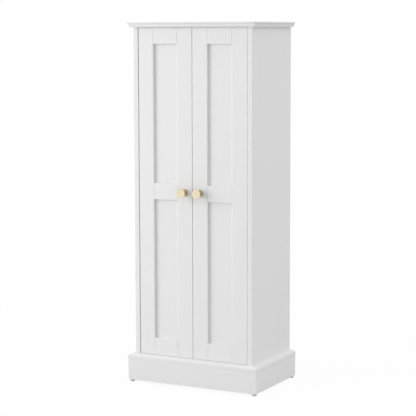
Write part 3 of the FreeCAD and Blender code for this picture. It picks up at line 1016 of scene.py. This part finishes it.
@dataclass(frozen=True)
class Screw:
    """One kind of screw with a cross recess: its head's face at the origin and its point along +Z."""

    head_radius: float
    head_height: float
    shank_radius: float
    length: float
    countersunk: bool = True
    edge: float = 0.0001
    land: float = 0.0003
    plain: float = 0.0008
    pitch: float = 0.0013
    point: float = 0.0024
    root: float = 0.78
    recess: Point = (0.62, 0.27, 0.72)
    steps: int = 28

    def profile(self) -> list[Pair]:
        """Return the screw's outline from its head's face to its point."""
        head, rise, shank = self.head_radius, self.head_height, self.shank_radius
        if self.countersunk:
            line = [(head - self.edge, 0.0), (head, self.edge), (head, self.land)]
        else:
            line = [(head * share, rise * height) for share, height in
                    ((0.55, 0.0), (0.80, 0.08), (0.94, 0.25), (1.0, 0.55), (1.0, 0.97))]
        line += [(shank, rise)]
        root = shank * self.root
        height = rise + self.plain
        while height < self.length - self.point - self.pitch:
            line += [(root, height), (shank, height + self.pitch / 2)]
            height += self.pitch
        return line + [(root, self.length - self.point), (root * 0.1, self.length)]

    def model(self, name: str, material: bpy.types.Material) -> bpy.types.Object:
        """Model the screw at the origin.

        Args:
            name: Its name.
            material: Its material.

        Returns:
            The finished screw.
        """
        long, wide, deep = self.recess
        piece = Bench.turn(self.profile(), ORIGIN, UPWARDS, self.steps)
        Bench.finish(piece, name, material)
        Bench.cross(piece, self.head_radius * long, self.head_radius * wide, self.head_height * deep)
        Bench.finish(piece, name, material)
        return piece


@dataclass
class LeafScrews:
    """The countersunk screws that hold the pivot leaves, two to a leaf."""

    material: bpy.types.Material
    kind: Screw = Screw(0.0034, 0.0020, 0.00175, 0.0140)
    columns: Pair = (0.1873, 0.1693)
    depth: float = -0.1336
    frame_levels: Pair = (0.105, 1.282)
    door_levels: Pair = (0.1056, 1.2814)

    def moves(self, sides: Sequence[Side], levels: Pair, outwards: float) -> list[Matrix]:
        """Return the places of the screws of some leaves.

        Args:
            sides: The halves that they are in.
            levels: The heights of the lower and the upper heads' faces.
            outwards: 1 where the screws point away from the opening's middle, -1 where they point to it.

        Returns:
            One move for each screw.
        """
        return [placed((side.value * column, self.depth, level), (0.0, 0.0, way * outwards))
                for side in sides for column in self.columns for level, way in zip(levels, (-1.0, 1.0))]

    def build(self) -> list[bpy.types.Object]:
        """Model one screw for each set and copy it into the set's leaves.

        Returns:
            One piece for the frame and one for each door.
        """
        sets = [("frame_leaf_screws", "carcass", self.moves(list(Side), self.frame_levels, 1.0))]
        for side in Side:
            moves = self.moves([side], self.door_levels, -1.0)
            sets.append((side.named("door_leaf_screws"), side.named("door"), moves))
        pieces = []
        for node, body, moves in sets:
            pattern = self.kind.model("leaf_screw_pattern", self.material)
            pieces.append(declare(Bench.spread(pattern, node + "_recessed", moves), body, node))
        return pieces


@dataclass
class KnobScrews:
    """The pan-head screws that hold the knobs from the doors' backs."""

    material: bpy.types.Material
    kind: Screw = Screw(0.0045, 0.0022, 0.0020, 0.0355, False)
    depth: float = -0.1189

    def build(self) -> list[bpy.types.Object]:
        """Model both screws.

        Returns:
            The screws.
        """
        pieces = []
        for side in Side:
            node = side.named("knob_screw")
            pattern = self.kind.model("knob_screw_pattern", self.material)
            move = placed((side.value * KNOB_COLUMN, self.depth, KNOB_LEVEL), FRONTWARDS)
            piece = Bench.spread(pattern, node + "_recessed", [move])
            pieces.append(declare(piece, side.named("door"), node))
        return pieces


@dataclass
class CamLocks:
    """The cast cam locks in the floor board, the fixed shelf and the side panels."""

    material: bpy.types.Material
    radius: float = 0.0075
    height: float = 0.0125
    rim: float = 0.0009
    rim_edge: float = 0.0001
    sunk: float = 0.0006
    edge: float = 0.0003
    slot_share: float = 0.72
    slot_width: float = 0.0018
    slot_depth: float = 0.0024
    rows: Pair = (-0.0879, 0.1191)
    board_column: float = 0.183
    board_levels: Pair = (0.087, 0.692)
    side_face: float = 0.217
    side_level: float = 1.248
    steps: int = 48

    def moves(self) -> list[Matrix]:
        """Return the places of all the locks."""
        moves = []
        for way in (side.value for side in Side):
            for row in self.rows:
                moves += [placed((way * self.board_column, row, level), UPWARDS)
                          for level in self.board_levels]
                moves.append(placed((way * self.side_face, row, self.side_level), (way, 0.0, 0.0)))
        return moves

    def build(self) -> list[bpy.types.Object]:
        """Model one lock with its rim and cross slot and copy it to every bore.

        Returns:
            The locks, as one piece.
        """
        outer, inner, edge = self.radius, self.radius - self.rim, self.edge
        line = [(inner - self.sunk / 2, self.sunk), (inner, self.rim_edge), (inner + self.rim_edge, 0.0),
                (outer - edge, 0.0), (outer, edge), (outer, self.height - edge),
                (outer - edge, self.height), (outer * 0.02, self.height)]
        pattern = Bench.turn(line, ORIGIN, UPWARDS, self.steps)
        Bench.finish(pattern, "cam_pattern", self.material)
        Bench.cross(pattern, inner * self.slot_share, self.slot_width, self.sunk + self.slot_depth)
        Bench.finish(pattern, "cam_pattern", self.material)
        piece = Bench.spread(pattern, "cam_locks_slotted", self.moves())
        return [declare(piece, "carcass", "cam_locks")]


@dataclass
class Catches:
    """The magnetic catches under the fixed shelf and the strike plates on the doors' backs.

    An inner and an outer size are distances from the cabinet's middle.
    """

    finishes: dict[str, bpy.types.Material]
    ear_inner: float = 0.0108
    ear_outer: float = 0.0548
    body_inner: float = 0.0163
    body_outer: float = 0.0493
    front: float = -0.1192
    back: float = -0.1032
    top: float = 0.692
    flange: float = 0.6895
    bottom: float = 0.678
    case_edge: float = 0.0003
    case_angle: float = 30.0
    magnet_inner: float = 0.0188
    magnet_outer: float = 0.0468
    magnet_low: float = 0.6810
    magnet_high: float = 0.6884
    magnet_back: float = -0.1082
    magnet_sunk: float = 0.0006
    pole: float = 0.0012
    pole_corner: float = 0.0008
    play: float = 0.0002
    small_edge: float = 0.0002
    strike_inner: float = 0.0138
    strike_outer: float = 0.0518
    strike_low: float = 0.679
    strike_high: float = 0.691
    strike_back: float = -0.1211
    strike_front: float = -0.1196
    strike_corner: float = 0.0020
    strike_hole: tuple[Pair, ...] = ((0.0036, -0.0002), (0.0034, 0.0), (0.0018, 0.0016), (0.0018, 0.0020))
    strike_hole_steps: int = 40
    strike_screw: Screw = Screw(0.0031, 0.0014, 0.0014, 0.0120)
    strike_screw_stand: float = 0.0001
    ear_screw: Screw = Screw(0.0022, 0.0012, 0.0011, 0.0135, False)

    def case(self, side: Side) -> bpy.types.Object:
        """Model a case: a flange with two ears, a body below it and the magnet's pocket.

        Args:
            side: The half that it is in.

        Returns:
            The case.
        """
        def below(centre: Vector, normal: Vector) -> bool:
            """Whether a face looks down."""
            return normal.z < -FACING

        def in_front(centre: Vector, normal: Vector) -> bool:
            """Whether a face is the body's front."""
            return normal.y < -FACING and centre.z < self.flange

        def on_body(centre: Vector, normal: Vector) -> bool:
            """Whether a face is where the body goes."""
            return below(centre, normal) and self.body_inner < abs(centre.x) < self.body_outer

        def at_pocket(centre: Vector, normal: Vector) -> bool:
            """Whether a face is where the magnet's pocket goes."""
            return (in_front(centre, normal) and self.magnet_inner < abs(centre.x) < self.magnet_outer
                    and self.magnet_low < centre.z < self.magnet_high)

        piece = Bench.block(side.span(self.ear_inner, self.ear_outer), (self.front, self.back),
                            (self.flange, self.top))
        for edge in (self.body_inner, self.body_outer):
            Bench.split(piece, below, (side.value * edge, 0.0, 0.0), RIGHTWARDS)
        Bench.push(piece, on_body, (0.0, 0.0, self.bottom - self.flange))
        for edge in (self.magnet_inner - self.play, self.magnet_outer + self.play):
            Bench.split(piece, in_front, (side.value * edge, 0.0, 0.0), RIGHTWARDS)
        for edge in (self.magnet_low - self.play, self.magnet_high + self.play):
            Bench.split(piece, in_front, (0.0, 0.0, edge), UPWARDS)
        Bench.push(piece, at_pocket, (0.0, self.magnet_back - self.front, 0.0))
        Bench.soften(piece, self.case_edge)
        Bench.finish(piece, side.named("catch_case"), self.finishes["catch_plastic"], self.case_angle)
        return piece

    def magnet(self, side: Side) -> bpy.types.Object:
        """Model a magnet, slightly sunk between its pole plates.

        Args:
            side: The half that it is in.

        Returns:
            The magnet.
        """
        low, high = side.span(self.magnet_inner, self.magnet_outer)
        piece = Bench.block((low + self.play, high - self.play),
                            (self.front + self.magnet_sunk, self.magnet_back),
                            (self.magnet_low + self.pole, self.magnet_high - self.pole))
        Bench.soften(piece, self.small_edge)
        Bench.finish(piece, side.named("catch_ferrite"), self.finishes["magnet"])
        return piece

    def poles(self, side: Side) -> bpy.types.Object:
        """Model the steel plates under and over a magnet, with rounded front corners.

        Args:
            side: The half that they are in.

        Returns:
            Both plates, as one piece.
        """
        plates = []
        front_end = self.front + self.pole_corner
        for low in (self.magnet_low, self.magnet_high - self.pole):
            plate = Bench.block(side.span(self.magnet_inner, self.magnet_outer),
                                (self.front, self.magnet_back), (low, low + self.pole))
            Bench.round_edges(plate, lambda middle, way: abs(way.z) > ALONG and middle.y < front_end,
                              self.pole_corner, 4)
            plates.append(plate)
        piece = Bench.join(plates, side.named("catch_poles"))
        Bench.finish(piece, side.named("catch_poles"), self.finishes["steel"])
        return piece

    def screws(self, side: Side) -> bpy.types.Object:
        """Model the screws in a case's ears.

        Args:
            side: The half that they are in.

        Returns:
            Both screws, as one piece.
        """
        columns = ((self.ear_inner + self.body_inner) / 2, (self.ear_outer + self.body_outer) / 2)
        row, level = (self.front + self.back) / 2, self.flange - self.ear_screw.head_height
        pattern = self.ear_screw.model("ear_screw", self.finishes["steel"])
        return Bench.spread(pattern, side.named("catch_screws"),
                            [placed((side.value * column, row, level), UPWARDS) for column in columns])

    def strike(self, side: Side) -> bpy.types.Object:
        """Model a strike plate with rounded corners, a countersunk hole and its flush screw.

        Args:
            side: The half that it is in.

        Returns:
            The plate with its screw.
        """
        steel = self.finishes["steel"]
        ends, face = side.span(self.strike_inner, self.strike_outer), self.strike_front
        piece = Bench.block(ends, (self.strike_back, face), (self.strike_low, self.strike_high))
        Bench.round_edges(piece, lambda middle, way: abs(way.y) > ALONG, self.strike_corner, 6)
        column, level = sum(ends) / 2, (self.strike_low + self.strike_high) / 2
        cone = Bench.turn(self.strike_hole, (column, face, level), FRONTWARDS, self.strike_hole_steps)
        Bench.finish(cone, "countersink", steel)
        Bench.carve(piece, cone)
        Bench.soften(piece, self.small_edge)
        Bench.finish(piece, "strike", steel)
        screw = Bench.spread(self.strike_screw.model("strike_screw", steel), "strike_screw",
                             [placed((column, face - self.strike_screw_stand, level), FRONTWARDS)])
        joined = Bench.join([piece, screw], "strike")
        joined.name = side.named("strike_screwed")
        return joined

    def build(self) -> list[bpy.types.Object]:
        """Model both catches and both strikes.

        Returns:
            Every piece.
        """
        pieces = []
        for side in Side:
            housing = side.named("catch_housing")
            pieces += [declare(self.case(side), "carcass", housing),
                       declare(self.magnet(side), "carcass", "catch_magnets"),
                       declare(self.poles(side), "carcass", "catch_magnets"),
                       declare(self.screws(side), "carcass", housing),
                       declare(self.strike(side), side.named("door"), side.named("strike_plate"))]
        return pieces


@dataclass
class Boards:
    """The carried-over boards and fittings, each dressed by its slot and the run of its length."""

    nodes: dict[str, bpy.types.Object]
    record: dict[str, Any]
    finishes: dict[str, bpy.types.Material]

    def chosen(self) -> dict[str, bpy.types.Material]:
        """Return the paints of the boards whose length isn't upright, by node name."""
        across, deep = self.finishes["body_paint_across"], self.finishes["body_paint_deep"]
        paints = {"top_board": across, "base_moulding_front": across,
                  "base_moulding_left": deep, "base_moulding_right": deep}
        for side in Side:
            for rail in ("rail_top", "rail_middle", "rail_bottom"):
                paints[side.named(rail)] = self.finishes["door_paint_across"]
        return paints

    def dress(self) -> int:
        """Give every node its material.

        Returns:
            How many nodes were dressed.
        """
        chosen = self.chosen()
        slots = {part["node"]: part["material_slot"] for part in self.record["subparts"]}
        for name, slot in slots.items():
            material = chosen.get(name, self.finishes[slot])
            body = self.nodes[name]
            if not body.material_slots:
                body.data.materials.append(material)
            for place in body.material_slots:
                place.material = material
        return len(slots)


# Studio


@dataclass(frozen=True)
class Window:
    """One wide, soft light, a round panel that faces the middle of the object.

    Its azimuth is counted from the front towards the right, its distance is in metres from the middle, and
    its power is the share of full daylight that it adds to a face turned to it there.
    """

    name: str
    azimuth: float
    elevation: float
    spread: float
    distance: float
    power: float


@dataclass
class Studio:
    """A white floor, a plain bright room and a few soft windows."""

    room: float = 0.585
    floor_radius: float = 3.4
    floor_sides: int = 96
    floor_fade: float = 1.3
    floor_gone: float = 0.95
    floor_colour: Colour = (0.93, 0.93, 0.93)
    floor_bounce: Colour = (0.60, 0.60, 0.60)
    floor_roughness: float = 0.9
    floor_veil: float = 0.93
    windows: tuple[Window, ...] = (
        Window("left_window", -50.0, 12.0, 50.0, 4.6, 0.50),
        Window("right_window", 100.0, 50.0, 60.0, 20.0, 0.31),
        Window("ceiling_window", -50.0, 75.0, 60.0, 20.0, 0.03),
    )
    middle: Point = (0.0, 0.0, 0.65)

    def build(self) -> None:
        """Make the floor, the windows and the world."""
        self.floor()
        for window in self.windows:
            self.light(window)
        self.world()
        bpy.context.scene.view_settings.view_transform = "Standard"

    def floor(self) -> None:
        """Lay the round floor, which shows white, keeps the object's shadow and fades out at its edge."""
        Bench.clear()
        bpy.ops.mesh.primitive_circle_add(vertices=self.floor_sides, radius=self.floor_radius,
                                          fill_type="NGON")
        floor = bpy.context.object
        floor.name = "studio_floor"
        sheet = Sheet(bpy.data.materials.new("studio_floor_white"))
        seen = sheet.seen()
        sheet.dress(base_color=sheet.mix(seen, self.floor_bounce, self.floor_colour),
                    roughness=self.floor_roughness, specular_ior_level=0.0)
        glow = sheet.add("ShaderNodeEmission", None, {"Color": WHITE, "Strength": 1.0})
        veiled = sheet.blend(seen * self.floor_veil, sheet.shader, glow)
        x, y, _ = sheet.axes()
        far = ((x * x + y * y) ** 0.5).ramp(self.floor_fade, self.floor_radius * self.floor_gone)
        sheet.close(sheet.blend(far, veiled, sheet.add("ShaderNodeBsdfTransparent")))
        floor.data.materials.append(sheet.owner)
        floor.select_set(False)

    def light(self, window: Window) -> None:
        """Make one window's light.

        Args:
            window: The window.
        """
        around, above = math.radians(window.azimuth), math.radians(window.elevation)
        level = math.cos(above)
        away = Vector((math.sin(around) * level, -math.cos(around) * level, math.sin(above)))
        data = bpy.data.lights.new(window.name, "AREA")
        data.shape = "DISK"
        data.size = 2.0 * window.distance * math.tan(math.radians(window.spread / 2))
        data.energy = 4.0 * math.pi * window.power * window.distance ** 2
        lamp = bpy.data.objects.new(window.name, data)
        lamp.visible_camera = False
        lamp.visible_glossy = False
        bpy.context.scene.collection.objects.link(lamp)
        lamp.location = Vector(self.middle) + away * window.distance
        lamp.rotation_euler = away.to_track_quat("Z", "Y").to_euler()

    def world(self) -> None:
        """Make the room's even light, with a white background behind the object."""
        sheet = Sheet(bpy.data.worlds.new("studio_room"))
        bpy.context.scene.world = sheet.dress(color=WHITE, strength=self.room)
        white = sheet.add("ShaderNodeBackground", None, {"Color": WHITE, "Strength": 1.0})
        sheet.close(sheet.blend(sheet.seen(), sheet.shader, white))


@dataclass
class Camera:
    """The photograph's viewpoint: a long lens, right of the front and slightly above the middle."""

    spot: Point = (2.43136, -4.65681, 1.2582)
    yaw: float = 27.6857
    pitch: float = 6.7822
    roll: float = -0.1402
    lens: float = 126.6464
    sensor: float = 36.0
    reach: float = 60.0

    def build(self) -> None:
        """Set the camera up and make it the scene's."""
        yaw, pitch, roll = (math.radians(angle) for angle in (self.yaw, self.pitch, self.roll))
        level = math.cos(pitch)
        ahead = Vector((-math.sin(yaw) * level, math.cos(yaw) * level, -math.sin(pitch)))
        right = Vector((math.cos(yaw), math.sin(yaw), 0.0))
        above = right.cross(ahead)
        across = right * math.cos(roll) + above * math.sin(roll)
        upright = above * math.cos(roll) - right * math.sin(roll)
        data = bpy.data.cameras.new("viewpoint")
        data.lens = self.lens
        data.sensor_width = self.sensor
        data.clip_end = self.reach
        camera = bpy.data.objects.new("viewpoint", data)
        bpy.context.scene.collection.objects.link(camera)
        turned = Matrix((across, upright, -ahead)).transposed().to_4x4()
        turned.translation = Vector(self.spot)
        camera.matrix_world = turned
        bpy.context.scene.camera = camera


def make_finishes() -> dict[str, bpy.types.Material]:
    """Return a material for every slot of the record, and the paints that run across or in depth."""
    white = (0.83, 0.83, 0.83)
    finishes = [
        SatinPaint("body_paint", white, Run.UPRIGHT),
        SatinPaint("body_paint_across", white, Run.ACROSS),
        SatinPaint("body_paint_deep", white, Run.DEEP),
        SatinPaint("door_paint", white, Run.UPRIGHT),
        SatinPaint("door_paint_across", white, Run.ACROSS),
        Melamine("inner_board", (0.80, 0.80, 0.79)),
        Hardboard("back_board", (0.74, 0.73, 0.70)),
        TurnedBrass("knob_brass", (0.87, 0.77, 0.575), face_y=-0.1741),
        BrushedSteel("steel", (0.62, 0.62, 0.60)),
        BrushedSteel("shelf_pin_steel", (0.70, 0.70, 0.68), roughness=0.24),
        CastZinc("zinc", (0.60, 0.60, 0.60)),
        MouldedPlastic("nylon", (0.80, 0.79, 0.74), roughness=0.45),
        MouldedPlastic("glide_plastic", (0.64, 0.64, 0.64), roughness=0.5),
        MouldedPlastic("catch_plastic", (0.80, 0.80, 0.79), roughness=0.4),
        Ferrite("magnet", (0.045, 0.045, 0.05)),
        Beech("beech", (0.62, 0.44, 0.26)),
    ]
    return {finish.name: finish.material() for finish in finishes}


def main() -> None:
    """Load the frame, build and dress every sub-assembly, and set the studio and the camera."""
    logging.basicConfig(level=logging.INFO, format="%(name)s: %(message)s")
    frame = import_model()
    Camera().build()
    finishes = make_finishes()
    log.info("finishes: %d", len(finishes))
    log.info("dressed nodes: %d", Boards(frame["nodes"], frame["record"], finishes).dress())

    steel = finishes["steel"]
    for assembly in (Knobs(finishes["knob_brass"]), Glides(finishes["glide_plastic"]), LeafScrews(steel),
                     KnobScrews(steel), CamLocks(finishes["zinc"]), Catches(finishes)):
        for piece in assembly.build():
            log.info("made %s", piece.name)
    Studio().build()


if __name__ == "__main__":
    main()
